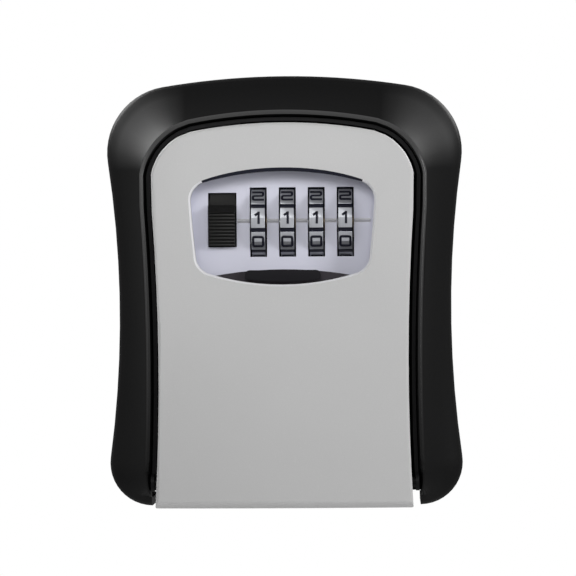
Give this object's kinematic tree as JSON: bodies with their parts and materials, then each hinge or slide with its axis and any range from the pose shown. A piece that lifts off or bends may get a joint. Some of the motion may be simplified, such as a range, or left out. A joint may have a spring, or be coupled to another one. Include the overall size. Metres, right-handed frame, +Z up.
{
  "type": "key lock box",
  "caption": "Wall-mounted key lock box: waisted black surround, grey drop-down door with a window onto number dials, thumb slide and a sliding dust shutter.",
  "frame": {"origin": "middle of the back plate, on the wall plane", "axes": "+Z up, -Y out of the wall towards the front of the door, +X to the right seen from the front"},
  "size_m": [0.0956, 0.04, 0.1155],
  "materials": {
    "tray_black": "black painted die casting",
    "bezel_black": "fine-textured black moulding",
    "door_grey": "matte light grey paint",
    "plate_lavender": "satin lavender grey",
    "dial_silver": "satin silver, black numbers",
    "cam_brass": "as turned",
    "lock_steel": "zinc plated",
    "screw_steel": "zinc plated",
    "cover_black": "matte black moulding",
    "grip_black": "matte black moulding"
  },
  "bodies": {
    "housing": {"housing_tray": "tray_black", "outer_bezel": "bezel_black", "bezel_screw_1": "screw_steel", "bezel_screw_2": "screw_steel", "bezel_screw_3": "screw_steel", "bezel_screw_4": "screw_steel", "keeper_plate": "lock_steel", "keeper_screw_1": "screw_steel", "keeper_screw_2": "screw_steel", "hinge_pin": "lock_steel"},
    "door": {"door_panel": "door_grey", "dial_plate": "plate_lavender", "lock_cover": "cover_black", "plate_screw_1": "screw_steel", "plate_screw_2": "screw_steel", "plate_screw_3": "screw_steel", "plate_screw_4": "screw_steel", "cover_screw_1": "screw_steel", "cover_screw_2": "screw_steel", "cover_screw_3": "screw_steel", "cover_screw_4": "screw_steel", "dial_shaft": "lock_steel", "fence_bar": "cam_brass", "click_spring": "lock_steel", "slide_spring": "lock_steel"},
    "number_dial_1": {"dial_1": "dial_silver", "code_cam_1": "cam_brass"},
    "number_dial_2": {"dial_2": "dial_silver", "code_cam_2": "cam_brass"},
    "number_dial_3": {"dial_3": "dial_silver", "code_cam_3": "cam_brass"},
    "number_dial_4": {"dial_4": "dial_silver", "code_cam_4": "cam_brass"},
    "slide": {"thumb_slide": "grip_black", "latch_bolt": "lock_steel", "bolt_screw": "screw_steel"},
    "shutter": {"dust_shutter": "grip_black"},
    "reset": {"reset_lever": "grip_black"}
  },
  "joints": [
    {"name": "door_hinge", "type": "hinge", "parent": "housing", "child": "door", "pos_m": [0, -0.0325, -0.0517], "axis": [1, 0, 0], "range_deg": [0, 100]},
    {"name": "dial_1_turn", "type": "hinge", "parent": "door", "child": "number_dial_1", "pos_m": [-0.00667, -0.0246, 0.0176], "axis": [1, 0, 0], "continuous": true},
    {"name": "dial_2_turn", "type": "hinge", "parent": "door", "child": "number_dial_2", "pos_m": [0.00106, -0.0246, 0.0176], "axis": [1, 0, 0], "continuous": true},
    {"name": "dial_3_turn", "type": "hinge", "parent": "door", "child": "number_dial_3", "pos_m": [0.00879, -0.0246, 0.0176], "axis": [1, 0, 0], "continuous": true},
    {"name": "dial_4_turn", "type": "hinge", "parent": "door", "child": "number_dial_4", "pos_m": [0.01652, -0.0246, 0.0176], "axis": [1, 0, 0], "continuous": true},
    {"name": "thumb_slide_travel", "type": "slide", "parent": "door", "child": "slide", "axis": [0, 0, 1], "range_m": [0, 0.003], "deforming": ["slide_spring"]},
    {"name": "shutter_travel", "type": "slide", "parent": "door", "child": "shutter", "axis": [0, 0, 1], "range_m": [0, 0.0255]},
    {"name": "reset_travel", "type": "slide", "parent": "door", "child": "reset", "axis": [1, 0, 0], "range_m": [0, 0.003]}
  ]
}
